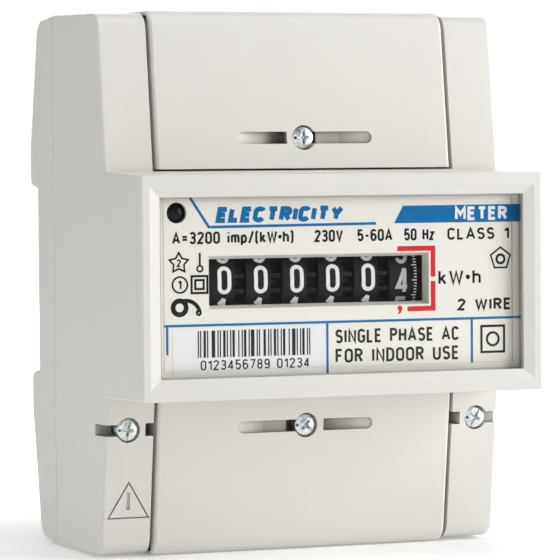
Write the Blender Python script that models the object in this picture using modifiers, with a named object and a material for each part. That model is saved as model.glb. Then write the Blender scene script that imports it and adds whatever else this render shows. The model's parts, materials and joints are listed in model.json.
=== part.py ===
"""Single-phase electricity meter for a 35 mm rail: two-part case, terminal covers, drum counter, terminals.

Lengths are in millimetres: x to the right, d forward from the rear face, h up from the middle of the case.
"""

import math

import bmesh
import bpy
from mathutils import Matrix, Vector

MM = 0.001
WIDTH = 89.0
HEIGHT = 113.6
DEPTH = 72.5
SIDE = WIDTH / 2
MID = HEIGHT / 2

SEAM = 17.0
SHOULDER = 50.4
SHOULDER_SLOPE = 0.13
NOSE_ROOT = 23.3
NOSE_TIP = 22.7
BAY_HALF = 33.9
BAY_WALL = 23.4

LENS_X = 40.17
LENS_H = 18.28
LENS_BEVEL_D = 0.6
LENS_BEVEL_X = 2.34
LENS_BEVEL_H = 2.12

COVER_HALF = 33.1
COVER_PROUD = 0.45
COVER_WALL = 2.0
COVER_SCREW_H = 30.2
SLOT_HALF = 1.27
CASE_SCREW_X = 39.4
CASE_SCREW_H = -29.95

RAIL_DEPTH = 5.0
RAIL_HALF = 19.4

DRUM_R = 10.1
DRUM_D = 55.1
DRUM_H = 0.8
DRUM_PITCH = 7.95
DRUM_FIRST = -23.8
DRUM_HALF = 3.3
TYRE_END = 2.2
RING_TEETH = 20
PINION_TEETH = 8
GEAR_MODULE = 0.927
PINION_DROP = 12.2
PINION_BACK = 4.44

CLAMP_X = 18.0
CLAMP_H = 42.0
PULSE_X = 4.6
PULSE_H = 44.5

for old in list(bpy.data.objects):
    bpy.data.objects.remove(old, do_unlink=True)

METER = bpy.data.collections.new("electricity_meter")
bpy.context.scene.collection.children.link(METER)
CUTTERS = bpy.data.collections.new("cutters")
bpy.context.scene.collection.children.link(CUTTERS)


def at(x, d, h):
    """A point of the scene, in metres."""
    return Vector((x * MM, (DEPTH / 2 - d) * MM, (MID + h) * MM))


def on_axis(axis, u, v, t):
    """A point from an outline's two values and its place along the axis."""
    if axis == "x":
        return at(t, u, v)
    if axis == "d":
        return at(u, t, v)
    return at(u, v, t)


def material(name, colour, roughness, metallic=0.0, alpha=1.0):
    mat = bpy.data.materials.new(name)
    mat.use_nodes = True
    shader = mat.node_tree.nodes["Principled BSDF"]
    shader.inputs["Base Color"].default_value = (*colour, 1.0)
    shader.inputs["Roughness"].default_value = roughness
    shader.inputs["Metallic"].default_value = metallic
    shader.inputs["Alpha"].default_value = alpha
    return mat


def helper(obj):
    """Moves a cutter or a joined piece out of the part."""
    for collection in list(obj.users_collection):
        collection.objects.unlink(obj)
    CUTTERS.objects.link(obj)
    obj.hide_render = True
    obj.display_type = "WIRE"
    return obj


def made(name, bm):
    bmesh.ops.remove_doubles(bm, verts=bm.verts, dist=1e-7)
    bmesh.ops.recalc_face_normals(bm, faces=bm.faces)
    mesh = bpy.data.meshes.new(name)
    bm.to_mesh(mesh)
    bm.free()
    obj = bpy.data.objects.new(name, mesh)
    METER.objects.link(obj)
    return obj


def loft(name, axis, sections):
    """A solid through outlines with equal point counts: [(place along the axis, outline), ...]."""
    bm = bmesh.new()
    loops = []
    for place, outline in sections:
        loops.append([bm.verts.new(on_axis(axis, u, v, place)) for u, v in outline])
    for low, high in zip(loops, loops[1:]):
        for i in range(len(low)):
            j = (i + 1) % len(low)
            bm.faces.new((low[i], low[j], high[j], high[i]))
    bm.faces.new(loops[0])
    bm.faces.new(loops[-1])
    return made(name, bm)


def prism(name, axis, outline, low, high):
    return loft(name, axis, [(low, outline), (high, outline)])


def rectangle(u0, u1, v0, v1):
    return [(u0, v0), (u1, v0), (u1, v1), (u0, v1)]


def box(name, x, d, h):
    return prism(name, "x", rectangle(d[0], d[1], h[0], h[1]), x[0], x[1])


def circle(cu, cv, radius, count, start=0.0):
    turn = [start + 2 * math.pi * i / count for i in range(count)]
    return [(cu + radius * math.cos(a), cv + radius * math.sin(a)) for a in turn]


def rod(name, axis, cu, cv, radius, low, high, count=24):
    return prism(name, axis, circle(cu, cv, radius, count), low, high)


def arc(cu, cv, radius, first, last, count):
    angles = [math.radians(first + (last - first) * i / count) for i in range(count + 1)]
    return [(cu + radius * math.cos(a), cv + radius * math.sin(a)) for a in angles]


def boolean(obj, other, operation):
    helper(other)
    modifier = obj.modifiers.new(operation.lower() + "_" + other.name, "BOOLEAN")
    modifier.operation = operation
    modifier.object = other
    modifier.solver = "EXACT"
    return obj


def cut(obj, *others):
    for other in others:
        boolean(obj, other, "DIFFERENCE")
    return obj


def join(obj, *others):
    for other in others:
        boolean(obj, other, "UNION")
    return obj


def bevel_edges(obj, width, chosen, segments=3):
    """Rounds the edges whose two ends both pass the test, ahead of the cuts."""
    mesh = obj.data
    weights = mesh.attributes.new("bevel_weight_edge", "FLOAT", "EDGE")
    for edge in mesh.edges:
        ends = [mesh.vertices[i].co for i in edge.vertices]
        weights.data[edge.index].value = 1.0 if chosen(*ends) else 0.0
    modifier = obj.modifiers.new("edge_rounding", "BEVEL")
    modifier.limit_method = "WEIGHT"
    modifier.width = width * MM
    modifier.segments = segments
    modifier.harden_normals = False
    return obj


def bevel_all(obj, width, segments=2, angle=40):
    modifier = obj.modifiers.new("edge_rounding", "BEVEL")
    modifier.limit_method = "ANGLE"
    modifier.angle_limit = math.radians(angle)
    modifier.width = width * MM
    modifier.segments = segments
    return obj


def solid_copy(obj, name):
    """A new mesh object from the finished shape of another one, which becomes a helper."""
    bpy.context.view_layer.update()
    graph = bpy.context.evaluated_depsgraph_get()
    mesh = bpy.data.meshes.new_from_object(obj.evaluated_get(graph))
    mesh.transform(obj.matrix_world)
    mesh.name = name
    bm = bmesh.new()
    bm.from_mesh(mesh)
    bmesh.ops.remove_doubles(bm, verts=bm.verts, dist=1e-7)
    bm.to_mesh(mesh)
    bm.free()
    mesh.materials.clear()
    result = bpy.data.objects.new(name, mesh)
    METER.objects.link(result)
    return result


def finish(obj, mat, sharp=35):
    obj.data.materials.clear()
    obj.data.materials.append(mat)
    obj.data.shade_smooth()
    obj.data.set_sharp_from_angle(angle=math.radians(sharp))
    return obj


def set_origin(obj, point):
    """Puts the object's origin on its joint, without moving its shape."""
    obj.data.transform(Matrix.Translation(-point))
    for modifier in obj.modifiers:
        if modifier.type == "BOOLEAN":
            raise ValueError("set the origin on a finished copy: " + obj.name)
    obj.location = point
    return obj


def turned(name, profile, steps=32):
    """Turns (radius, height) points about the local Z axis, outer side top to bottom."""
    mesh = bpy.data.meshes.new(name)
    points = [(r * MM, 0, z * MM) for r, z in profile]
    edges = [(i, i + 1) for i in range(len(points) - 1)]
    mesh.from_pydata(points, edges, [])
    obj = bpy.data.objects.new(name, mesh)
    METER.objects.link(obj)
    modifier = obj.modifiers.new("turn", "SCREW")
    modifier.steps = steps
    modifier.render_steps = steps
    modifier.use_merge_vertices = True
    modifier.merge_threshold = 0.00001
    return obj


def shoulder_depth(h, proud=0.0):
    return SHOULDER + proud - SHOULDER_SLOPE * (abs(h) - NOSE_ROOT)


def mirrored(outline):
    """An upper half outline with its mirror image below, joined into one ring."""
    return outline + [(d, -h) for d, h in reversed(outline)]


# Colours

SHELL = material("light_grey_plastic", (0.76, 0.74, 0.70), 0.48)
REAR = material("rear_grey_plastic", (0.74, 0.72, 0.68), 0.5)
GLASS = material("clear_window", (0.95, 0.97, 0.97), 0.05, alpha=0.2)
DIAL = material("dial_white", (0.87, 0.88, 0.88), 0.45)
LAMP = material("lamp_dark", (0.05, 0.05, 0.06), 0.25)
ZINC = material("zinc_plate", (0.72, 0.75, 0.78), 0.3, 1.0)
BRIGHT = material("nickel_steel", (0.66, 0.66, 0.64), 0.32, 1.0)
STEEL = material("steel", (0.55, 0.55, 0.56), 0.35, 1.0)
BLACK = material("drum_black", (0.018, 0.018, 0.02), 0.4)
DARK = material("dark_plastic", (0.07, 0.07, 0.075), 0.5)
NATURAL = material("natural_acetal", (0.82, 0.82, 0.8), 0.4)
BLOCK = material("terminal_block_grey", (0.2, 0.2, 0.21), 0.55)
BOARD = material("board_green", (0.04, 0.2, 0.09), 0.45)
COPPER = material("copper_bar", (0.8, 0.42, 0.27), 0.3, 1.0)
BRASS = material("tinned_brass", (0.72, 0.66, 0.5), 0.32, 1.0)
YELLOW = material("capacitor_yellow", (0.75, 0.6, 0.12), 0.45)
SLEEVE = material("capacitor_sleeve", (0.03, 0.04, 0.1), 0.35)
BLUE = material("varistor_blue", (0.05, 0.15, 0.5), 0.4)


# Case

def case_outline():
    end = [(SEAM, 56.8), (42.9, 56.15)]
    lift = math.degrees(math.atan(SHOULDER_SLOPE))
    centre_h = 52.3
    centre_d = SHOULDER + SHOULDER_SLOPE * (NOSE_ROOT - centre_h) - 3.8 * math.hypot(1, SHOULDER_SLOPE)
    round_end = arc(centre_d, centre_h, 3.8, 84, lift, 6)
    nose = [(SHOULDER, NOSE_ROOT), (DEPTH, NOSE_TIP)]
    return mirrored(end + round_end + nose)


def pillar_cavity(name, side, sign):
    far = 54.4
    front = [(d - 8.0, h) for d, h in ((shoulder_depth(20.0), 20.0), (shoulder_depth(far), far))]
    outline = [(SEAM - 3, 20.0), front[0], front[1], (SEAM - 3, far + 0.2)]
    outline = [(d, h * sign) for d, h in outline]
    low, high = sorted((side * 35.9, side * 42.5))
    return prism(name, "x", outline, low, high)


def lens_cutter():
    inner = rectangle(-LENS_X, LENS_X, -LENS_H, LENS_H)
    wide_x = LENS_X + 2 * LENS_BEVEL_X
    wide_h = LENS_H + 2 * LENS_BEVEL_H
    outer = rectangle(-wide_x, wide_x, -wide_h, wide_h)
    front = DEPTH - LENS_BEVEL_D
    return loft("cut_lens", "d", [(69.0, inner), (front, inner), (front + 2 * LENS_BEVEL_D, outer)])


def groove(name, points, radius, closed):
    curve = bpy.data.curves.new(name, "CURVE")
    curve.dimensions = "3D"
    spline = curve.splines.new("POLY")
    spline.points.add(len(points) - 1)
    for target, (x, h) in zip(spline.points, points):
        target.co = (*at(x, shoulder_depth(h) - 0.1, h), 1)
    spline.use_cyclic_u = closed
    curve.bevel_depth = radius * MM
    curve.bevel_resolution = 2
    curve.use_fill_caps = not closed
    obj = bpy.data.objects.new(name + "_path", curve)
    METER.objects.link(obj)
    solid = solid_copy(obj, name)
    helper(obj)
    bm = bmesh.new()
    bm.from_mesh(solid.data)
    bmesh.ops.recalc_face_normals(bm, faces=bm.faces)
    if bm.calc_volume(signed=True) < 0:
        bmesh.ops.reverse_faces(bm, faces=bm.faces)
    bm.to_mesh(solid.data)
    bm.free()
    return solid


def front_case():
    obj = prism("front_case", "x", case_outline(), -SIDE, SIDE)
    seam_y = at(0, SEAM + 0.5, 0).y

    def outside(a, b):
        if min(abs(a.x), abs(b.x)) < (SIDE - 0.01) * MM or a.x * b.x < 0:
            return False
        return a.y < seam_y or b.y < seam_y

    bevel_edges(obj, 0.6, outside)
    for sign in (1, -1):
        word = "upper" if sign > 0 else "lower"
        reach = sorted((sign * BAY_WALL, sign * 60.0))
        cut(obj, box("cut_bay_" + word, (-BAY_HALF, BAY_HALF), (SEAM - 5, 60.0), reach))
        for side in (-1, 1):
            tag = word + ("_left" if side < 0 else "_right")
            cut(obj, pillar_cavity("cut_pillar_" + tag, side, sign))
            slot = sorted((side * (CLAMP_X - 3.7), side * (CLAMP_X + 3.7)))
            gap = sorted((sign * 20.5, sign * 24.5))
            cut(obj, box("cut_bar_" + tag, slot, (28.2, 31.2), gap))
    cut(obj, box("cut_inside", (-42.5, 42.5), (SEAM - 4, 70.5), (-21.3, 21.3)))
    cut(obj, lens_cutter())
    for side in (-1, 1):
        tag = "left" if side < 0 else "right"
        x = side * CASE_SCREW_X
        cut(obj, rod("cut_head_" + tag, "d", x, CASE_SCREW_H, 2.6, 47.2, 60.0))
        cut(obj, rod("cut_shank_" + tag, "d", x, CASE_SCREW_H, 1.65, 30.0, 60.0))
        notch = sorted((side * 33.0, side * 35.7))
        cut(obj, box("cut_notch_" + tag, notch, (42.6, 60.0), (-31.3, -28.6)))
    left = [(-46.0, 43.2), (-40.0, 43.2), (-40.0, 60.0), (-46.0, 60.0)]
    cut(obj, prism("cut_seal_left", "h", left, -31.2, -28.75))
    right = [(40.0, 45.6), (46.0, 48.6), (46.0, 60.0), (40.0, 60.0)]
    cut(obj, prism("cut_seal_right", "h", right, -31.2, -28.75))
    triangle = [(-38.9, -40.9), (-43.2, -48.3), (-34.4, -48.3)]
    cut(obj, groove("cut_triangle", triangle, 0.36, True))
    cut(obj, groove("cut_bar", [(-38.9, -43.0), (-38.9, -46.6)], 0.42, False))
    return finish(obj, SHELL)


def rear_outline():
    half = [
        (SEAM - 0.15, 56.8),
        (7.9, 56.0),
        (6.3, 55.2),
        (5.2, 53.7),
        (0.0, 28.2),
        (0.0, 21.7),
        (0.35, 20.7),
        (1.2, 20.2),
        (RAIL_DEPTH, RAIL_HALF),
    ]
    return mirrored(half)


def rear_base():
    obj = prism("rear_base", "x", rear_outline(), -SIDE, SIDE)
    seam_y = at(0, SEAM - 0.5, 0).y

    def outside(a, b):
        if min(abs(a.x), abs(b.x)) < (SIDE - 0.01) * MM or a.x * b.x < 0:
            return False
        return a.y > seam_y or b.y > seam_y

    bevel_edges(obj, 0.8, outside, 2)
    tray = mirrored([(19.0, 54.6), (8.3, 54.2), (7.4, 52.8), (2.4, 28.4), (2.4, 22.6), (7.2, 21.8)])
    cut(obj, prism("cut_tray_left", "x", tray, -42.5, -11.4))
    cut(obj, prism("cut_tray_right", "x", tray, 11.4, 42.5))
    cut(obj, box("cut_tray_middle", (-10.2, 10.2), (8.2, 19.0), (-54.4, 54.4)))
    cut(obj, box("cut_latch_mouth", (-7.2, 7.2), (-2.0, 6.2), (-60.0, -18.5)))
    cut(obj, box("cut_latch_guide", (-9.2, 9.2), (4.1, 6.19), (-60.0, -18.6)))
    join(obj, box("spring_peg", (-1.3, 1.3), (4.3, 6.8), (-38.0, -36.2)))
    relief = (RAIL_DEPTH - 0.3, RAIL_DEPTH + 0.3)
    cut(obj, box("cut_latch_relief", (-9.2, 9.2), relief, (-18.8, -15.4)))
    for side in (-1, 1):
        tag = "left" if side < 0 else "right"
        under_hook = sorted((side * 15.7, side * 28.3))
        cut(obj, box("cut_hook_relief_" + tag, under_hook, relief, (16.3, RAIL_HALF + 0.2)))
        reach = sorted((side * 16.0, side * 28.0))
        join(obj, box("rail_hook_" + tag, reach, (1.4, 3.7), (16.6, 21.0)))
        x = side * CASE_SCREW_X
        join(obj, rod("screw_post_" + tag, "d", x, CASE_SCREW_H, 3.0, 1.5, 33.0))
        cut(obj, rod("cut_pilot_" + tag, "d", x, CASE_SCREW_H, 1.5, 9.0, 40.0))
    return finish(obj, REAR)


# Window and dial

def window_lens():
    obj = box("window_lens", (-39.95, 39.95), (69.2, 71.6), (-18.05, 18.05))
    bevel_all(obj, 0.3, 2)
    join(obj, box("lens_flange", (-41.6, 41.6), (69.2, 70.2), (-19.7, 19.7)))
    cut(obj, box("lens_hollow", (-38.65, 38.65), (68.0, 69.9), (-16.75, 17.35)))
    return finish(obj, GLASS)


def dial_plate():
    obj = box("dial_plate", (-41.9, 41.9), (68.0, 68.9), (-20.6, 20.6))
    join(obj, box("counter_well", (-29.6, 20.85), (65.4, 68.5), (-5.4, 7.2)))
    deep = rectangle(-28.65, 19.9, -3.79, 5.47)
    front = rectangle(-28.65, 19.9, -4.48, 6.36)
    cut(obj, loft("cut_window", "d", [(65.0, deep), (69.3, front)]))
    cut(obj, rod("cut_lamp", "d", -35.5, 15.1, 2.1, 60.0, 75.0, 40))
    return finish(obj, DIAL)


def status_lamp():
    profile = [(0, 27.8), (0.8, 27.72), (1.4, 27.5), (1.75, 27.1), (1.85, 26.6), (1.85, 0), (0, 0)]
    obj = turned("lamp_shape", profile, 32)
    obj.rotation_euler = (math.pi / 2, 0, 0)
    obj.location = at(-35.5, 41.0, 15.1)
    result = solid_copy(obj, "status_lamp")
    helper(obj)
    return finish(result, LAMP)


# Terminal covers

def cover_outline():
    lift = math.degrees(math.atan(SHOULDER_SLOPE))
    centre_h = MID - 4.0
    front = SHOULDER + COVER_PROUD
    centre_d = front + SHOULDER_SLOPE * (NOSE_ROOT - centre_h) - 4.0 * math.hypot(1, SHOULDER_SLOPE)
    outer = [(19.0, MID)] + arc(centre_d, centre_h, 4.0, 90, lift, 7)
    outer.append((shoulder_depth(23.8, COVER_PROUD), 23.8))
    return outer + [(44.6, 23.8), (44.6, MID - 1.1), (19.0, MID - 1.1)]


def cover_hollow():
    lift = math.degrees(math.atan(SHOULDER_SLOPE))
    centre_h = MID - 4.0
    front = SHOULDER + COVER_PROUD
    centre_d = front + SHOULDER_SLOPE * (NOSE_ROOT - centre_h) - 4.0 * math.hypot(1, SHOULDER_SLOPE)
    inner = [(41.5, MID - 2.0)] + arc(centre_d, centre_h, 2.0, 90, lift, 5)
    inner.append((shoulder_depth(22.0, COVER_PROUD) - COVER_WALL, 22.0))
    return inner + [(41.5, 22.0)]


def seal_slot(name, x_round, x_deep, d_round, d_deep):
    """A ramp with one round end, for the seal wire."""
    half = SLOT_HALF
    way = 1 if x_round > x_deep else -1
    centre = x_round - way * half
    first = -90 if way > 0 else 90
    outline = [(x_deep, COVER_SCREW_H + (-half if way > 0 else half))]
    outline += arc(centre, COVER_SCREW_H, half, first, first + 180, 8)
    outline.append((x_deep, COVER_SCREW_H + (half if way > 0 else -half)))
    obj = prism(name, "d", outline, 40.0, 55.0)
    for vertex in obj.data.vertices:
        if vertex.co.y > at(0, 50.0, 0).y:
            x = vertex.co.x / MM
            share = (x - x_deep) / (x_round - x_deep)
            vertex.co.y = at(0, d_deep + (d_round - d_deep) * share, 0).y
    return obj


def cable_notch(name, x, half, d):
    outline = [(x - half, 5.0), (x + half, 5.0)] + arc(x, d, half, 0, 180, 10)
    return prism(name, "h", outline, 53.0, 60.0)


def terminal_cover():
    obj = prism("cover_shape", "x", cover_outline(), -COVER_HALF, COVER_HALF)
    limit_y = at(0, 44.61, 0).y
    inner_h = at(0, 0, MID - 1.0).z

    def outside(a, b):
        if min(abs(a.x), abs(b.x)) < (COVER_HALF - 0.01) * MM or a.x * b.x < 0:
            return False
        if a.z > inner_h and b.z > inner_h:
            return abs(a.y - b.y) > 1e-6
        return max(a.y, b.y) < limit_y and abs(a.z - b.z) > 1e-6

    bevel_edges(obj, 0.7, outside)
    cut(obj, prism("cut_cover_hollow", "x", cover_hollow(), -31.7, 31.7))
    join(obj, rod("cover_boss", "d", 0, COVER_SCREW_H, 4.4, 44.7, 49.2, 40))
    join(obj, box("slot_rib", (-16.4, 16.4), (44.9, 48.9), (COVER_SCREW_H - 2.3, COVER_SCREW_H + 2.3)))
    slot = (COVER_SCREW_H - SLOT_HALF, COVER_SCREW_H + SLOT_HALF)
    cut(obj, seal_slot("cut_slot_left", -15.15, -3.9, 49.3, 46.15))
    cut(obj, rod("cut_wire_hole", "x", 47.25, COVER_SCREW_H, 1.1, -5.0, -2.0))
    cut(obj, seal_slot("cut_slot_right", 15.4, 8.9, 49.3, 47.45))
    cut(obj, box("cut_slot_floor", (1.6, 8.95), (47.45, 60.0), slot))
    cut(obj, box("cut_slot_well", (2.0, 3.6), (45.5, 60.0), slot))
    cut(obj, rod("cut_cover_head", "d", 0, COVER_SCREW_H, 2.62, 47.0, 60.0, 40))
    cut(obj, rod("cut_cover_shank", "d", 0, COVER_SCREW_H, 1.85, 40.0, 60.0))
    for side in (-1, 1):
        tag = "left" if side < 0 else "right"
        cut(obj, cable_notch("cut_cable_" + tag, side * CLAMP_X, 4.6, 24.85))
        cut(obj, cable_notch("cut_pulse_" + tag, side * PULSE_X, 2.1, 24.0))
    upper = finish(solid_copy(obj, "upper_terminal_cover"), SHELL)
    lower = finish(solid_copy(obj, "lower_terminal_cover"), SHELL)
    lower.data.transform(Matrix.Translation(at(0, 0, 0) * -1))
    lower.data.transform(Matrix.Rotation(math.pi, 4, "Y"))
    lower.data.transform(Matrix.Translation(at(0, 0, 0)))
    helper(obj)
    return upper, lower


# Screws

def cross_outline(reach, width):
    a, b = reach, width / 2
    return [(a, -b), (a, b), (b, b), (b, a), (-b, a), (-b, b), (-a, b), (-a, -b), (-b, -b), (-b, -a), (b, -a), (b, -b)]


def rotated(outline, x, h, angle):
    """An outline turned by an angle in degrees, and moved to a centre."""
    c, s = math.cos(math.radians(angle)), math.sin(math.radians(angle))
    return [(x + u * c - v * s, h + u * s + v * c) for u, v in outline]


def screw(name, x, h, tip, under_head, top, head_r, shank_r, cross, mat, slot_turn=None):
    """A cross-recessed screw along the depth, its tip to the rear. Some have a slot and a seal hole too."""
    head = top - under_head
    low = tip - under_head
    profile = [
        (0, head),
        (head_r * 0.5, head - 0.03),
        (head_r * 0.8, head - 0.16),
        (head_r * 0.95, head - 0.36),
        (head_r, head - 0.62),
        (head_r, 0),
        (shank_r, 0),
        (shank_r, low + 0.8),
        (shank_r * 0.6, low),
        (0, low),
    ]
    obj = turned(name + "_shape", profile, 18 if slot_turn is None else 24)
    obj.rotation_euler = (math.pi / 2, 0, 0)
    obj.location = at(x, under_head, h)
    bpy.context.view_layer.update()
    turn = 28 if slot_turn is None else slot_turn
    outline = rotated(cross_outline(cross, cross * 0.46), x, h, turn)
    small = [(x + (u - x) * 0.55, h + (v - h) * 0.55) for u, v in outline]
    cut(obj, loft(name + "_cross", "d", [(top - 1.25, small), (top + 0.3, outline)]))
    if slot_turn is not None:
        slot = rotated(rectangle(-3.0, 3.0, -0.22, 0.22), x, h, slot_turn)
        cut(obj, prism(name + "_slot", "d", slot, top - 0.75, top + 1))
        cut(obj, rod(name + "_hole", "d", x - head_r * 0.76, h, 0.3, under_head - 1, top + 1, 12))
    result = solid_copy(obj, name)
    helper(obj)
    set_origin(result, at(x, under_head, h))
    return finish(result, mat)


def case_and_cover_screws():
    screw("upper_cover_screw", 0, COVER_SCREW_H, 30.5, 47.3, 49.6, 2.35, 1.7, 1.5, ZINC, 90)
    screw("lower_cover_screw", 0, -COVER_SCREW_H, 30.5, 47.3, 49.6, 2.35, 1.7, 1.5, ZINC, 138)
    screw("left_case_screw", -CASE_SCREW_X, CASE_SCREW_H, 19.0, 47.4, 49.3, 2.35, 1.45, 1.5, ZINC, 80)
    screw("right_case_screw", CASE_SCREW_X, CASE_SCREW_H, 19.0, 47.4, 49.3, 2.35, 1.45, 1.5, ZINC, 60)


# Rail latch

def rail_latch():
    outline = [
        (1.5, -17.6),
        (3.7, -15.7),
        (3.7, -19.9),
        (5.9, -19.9),
        (5.9, -56.1),
        (3.6, -56.1),
        (3.0, -55.3),
        (2.6, -32.0),
        (1.5, -24.0),
    ]
    obj = prism("latch_shape", "x", outline, -7.0, 7.0)
    join(obj, box("latch_flange", (-8.9, 8.9), (4.4, 5.88), (-52.0, -20.5)))
    cut(obj, box("cut_spring_room", (-1.7, 1.7), (-1.0, 8.0), (-38.5, -26.0)))
    cut(obj, box("cut_tool_slot", (-3.2, 3.2), (-1.0, 8.0), (-54.4, -52.4)))
    result = solid_copy(obj, "rail_latch")
    helper(obj)
    return finish(result, DARK)


def latch_spring():
    turns = 5
    count = turns * 10
    curve = bpy.data.curves.new("spring_wire", "CURVE")
    curve.dimensions = "3D"
    spline = curve.splines.new("POLY")
    spline.points.add(count)
    for i, point in enumerate(spline.points):
        a = 2 * math.pi * turns * i / count
        h = -35.85 + 9.5 * i / count
        point.co = (*at(0.95 * math.cos(a), 4.9 + 0.95 * math.sin(a), h), 1)
    curve.bevel_depth = 0.2 * MM
    curve.bevel_resolution = 2
    curve.use_fill_caps = True
    obj = bpy.data.objects.new("spring_wire", curve)
    METER.objects.link(obj)
    result = solid_copy(obj, "latch_spring")
    helper(obj)
    return finish(result, STEEL)


# Counter

def gear_outline(cu, cv, teeth, root, tip, root_half, tip_half, start):
    """Straight-sided teeth. The half widths are in millimetres."""
    points = []
    for i in range(teeth):
        middle = start + 2 * math.pi * i / teeth
        for radius, half in ((root, -root_half), (tip, -tip_half), (tip, tip_half), (root, root_half)):
            a = middle + half / radius
            points.append((cu + radius * math.cos(a), cv + radius * math.sin(a)))
    return points


def ring_angle():
    """Direction from the drum axis to the transfer pinions, in the depth-height plane."""
    return math.atan2(-PINION_DROP, -PINION_BACK)


def drum(name, index):
    centre = DRUM_FIRST + DRUM_PITCH * index
    half = DRUM_HALF
    end = half - 0.1 if name == "drum_tenths" else TYRE_END
    profile = [
        (1.16, half),
        (2.4, half),
        (2.4, end),
        (DRUM_R - 0.15, end),
        (DRUM_R, end - 0.15),
        (DRUM_R, 0.15 - half),
        (DRUM_R - 0.15, -half),
        (DRUM_R - 1.1, -half),
        (DRUM_R - 1.1, end - 1.2),
        (2.4, end - 1.2),
        (2.4, -half),
        (1.16, -half),
        (1.16, half),
    ]
    obj = turned(name + "_shape", profile, 32)
    obj.rotation_euler = (0, math.pi / 2, 0)
    obj.location = at(centre, DRUM_D, DRUM_H)
    bpy.context.view_layer.update()
    pitch_r = GEAR_MODULE * RING_TEETH / 2
    start = ring_angle() + math.pi / RING_TEETH
    teeth = gear_outline(DRUM_D, DRUM_H, RING_TEETH, pitch_r - 0.85, pitch_r + 0.68, 0.82, 0.42, start)
    ring = prism(name + "_ring", "x", teeth, centre + end - 0.3, centre + half + 0.95)
    cut(ring, rod(name + "_ring_bore", "x", DRUM_D, DRUM_H, 7.2, centre, centre + 9.0, 20))
    ring_solid = solid_copy(ring, name + "_teeth")
    helper(ring)
    join(obj, ring_solid)
    result = solid_copy(obj, name)
    helper(obj)
    set_origin(result, at(centre, DRUM_D, DRUM_H))
    return finish(result, BLACK)


def pinion_shape(name, x_low, x_high, cd, ch, start):
    pitch_r = GEAR_MODULE * PINION_TEETH / 2
    teeth = gear_outline(cd, ch, PINION_TEETH, pitch_r - 0.95, pitch_r + 0.6, 0.72, 0.36, start)
    return prism(name, "x", teeth, x_low, x_high)


def transfer_pinion(name, index):
    centre = DRUM_FIRST + DRUM_PITCH * index + DRUM_HALF
    cd = DRUM_D - PINION_BACK
    ch = DRUM_H - PINION_DROP
    obj = pinion_shape(name + "_shape", centre + 0.13, centre + 0.9, cd, ch, ring_angle() + math.pi)
    join(obj, rod(name + "_sleeve", "x", cd, ch, 1.6, centre - 1.5, centre + 2.6, 24))
    cut(obj, rod(name + "_bore", "x", cd, ch, 0.86, centre - 5.0, centre + 6.0, 24))
    result = solid_copy(obj, name)
    helper(obj)
    set_origin(result, at(centre + 0.5, cd, ch))
    return finish(result, NATURAL)


def motor_pinion():
    centre = DRUM_FIRST + DRUM_PITCH * 5 + DRUM_HALF
    cd = DRUM_D - PINION_BACK
    ch = DRUM_H + PINION_DROP
    toward = math.atan2(PINION_DROP, -PINION_BACK)
    ring_start = ring_angle() + math.pi / RING_TEETH
    pitch = 2 * math.pi / RING_TEETH
    phase = (toward - ring_start) / pitch
    offset = (phase - round(phase)) * RING_TEETH / PINION_TEETH
    start = toward + math.pi + math.pi / PINION_TEETH + offset * pitch
    obj = pinion_shape("motor_pinion_shape", centre + 0.13, centre + 0.9, cd, ch, start)
    join(obj, rod("motor_spindle", "x", cd, ch, 0.78, centre - 0.6, 26.5, 24))
    join(obj, rod("motor_pinion_hub", "x", cd, ch, 1.6, centre + 0.13, centre + 1.6, 24))
    result = solid_copy(obj, "motor_pinion")
    helper(obj)
    set_origin(result, at(centre + 0.5, cd, ch))
    return finish(result, BRASS)


def counter_frame():
    outline = [
        (-29.0, 41.3),
        (22.2, 41.3),
        (22.2, 58.0),
        (21.2, 58.0),
        (21.2, 42.5),
        (-28.0, 42.5),
        (-28.0, 58.0),
        (-29.0, 58.0),
    ]
    obj = prism("counter_frame", "h", outline, -15.6, 17.6)
    cd = DRUM_D - PINION_BACK
    cut(obj, rod("cut_counter_shaft", "x", DRUM_D, DRUM_H, 1.15, -35.0, 30.0, 24))
    cut(obj, rod("cut_pinion_shaft", "x", cd, DRUM_H - PINION_DROP, 0.85, -35.0, 30.0, 24))
    cut(obj, rod("cut_motor_spindle", "x", cd, DRUM_H + PINION_DROP, 1.9, 15.0, 30.0, 24))
    return finish(obj, DARK)


def stepper_motor():
    cd = DRUM_D - PINION_BACK
    ch = DRUM_H + PINION_DROP
    obj = rod("motor_shape", "x", cd, ch, 6.4, 22.5, 32.5, 32)
    bevel_all(obj, 0.5, 2)
    cut(obj, rod("cut_motor_bore", "x", cd, ch, 0.83, 20.0, 27.5, 24))
    result = solid_copy(obj, "stepper_motor")
    helper(obj)
    return finish(result, STEEL)


def counter():
    names = ["ten_thousands", "thousands", "hundreds", "tens", "units", "tenths"]
    for index, name in enumerate(names):
        drum("drum_" + name, index)
    for index, name in enumerate(names[:5]):
        transfer_pinion("pinion_" + name, index)
    cd = DRUM_D - PINION_BACK
    finish(rod("counter_shaft", "x", DRUM_D, DRUM_H, 1.1, -29.6, 22.8, 24), STEEL)
    finish(rod("pinion_shaft", "x", cd, DRUM_H - PINION_DROP, 0.8, -29.6, 22.8, 24), STEEL)
    counter_frame()
    stepper_motor()
    motor_pinion()


# Terminals

def clamp(name, x, h, half_x, half_h, span, opening, hole):
    obj = box(name, (x - half_x, x + half_x), span, (h - half_h, h + half_h))
    inner = half_x - 1.2 if half_x > 3 else half_x - 0.8
    cut(obj, box(name + "_room", (x - inner, x + inner), opening, (h - 20, h + 20)))
    cut(obj, rod(name + "_thread", "d", x, h, hole, opening[1] - 1, span[1] + 2, 24))
    result = solid_copy(obj, name + "_solid")
    helper(obj)
    obj.name = name + "_shape"
    result.name = name
    set_origin(result, at(x, span[0], h))
    return finish(result, BRIGHT)


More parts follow.
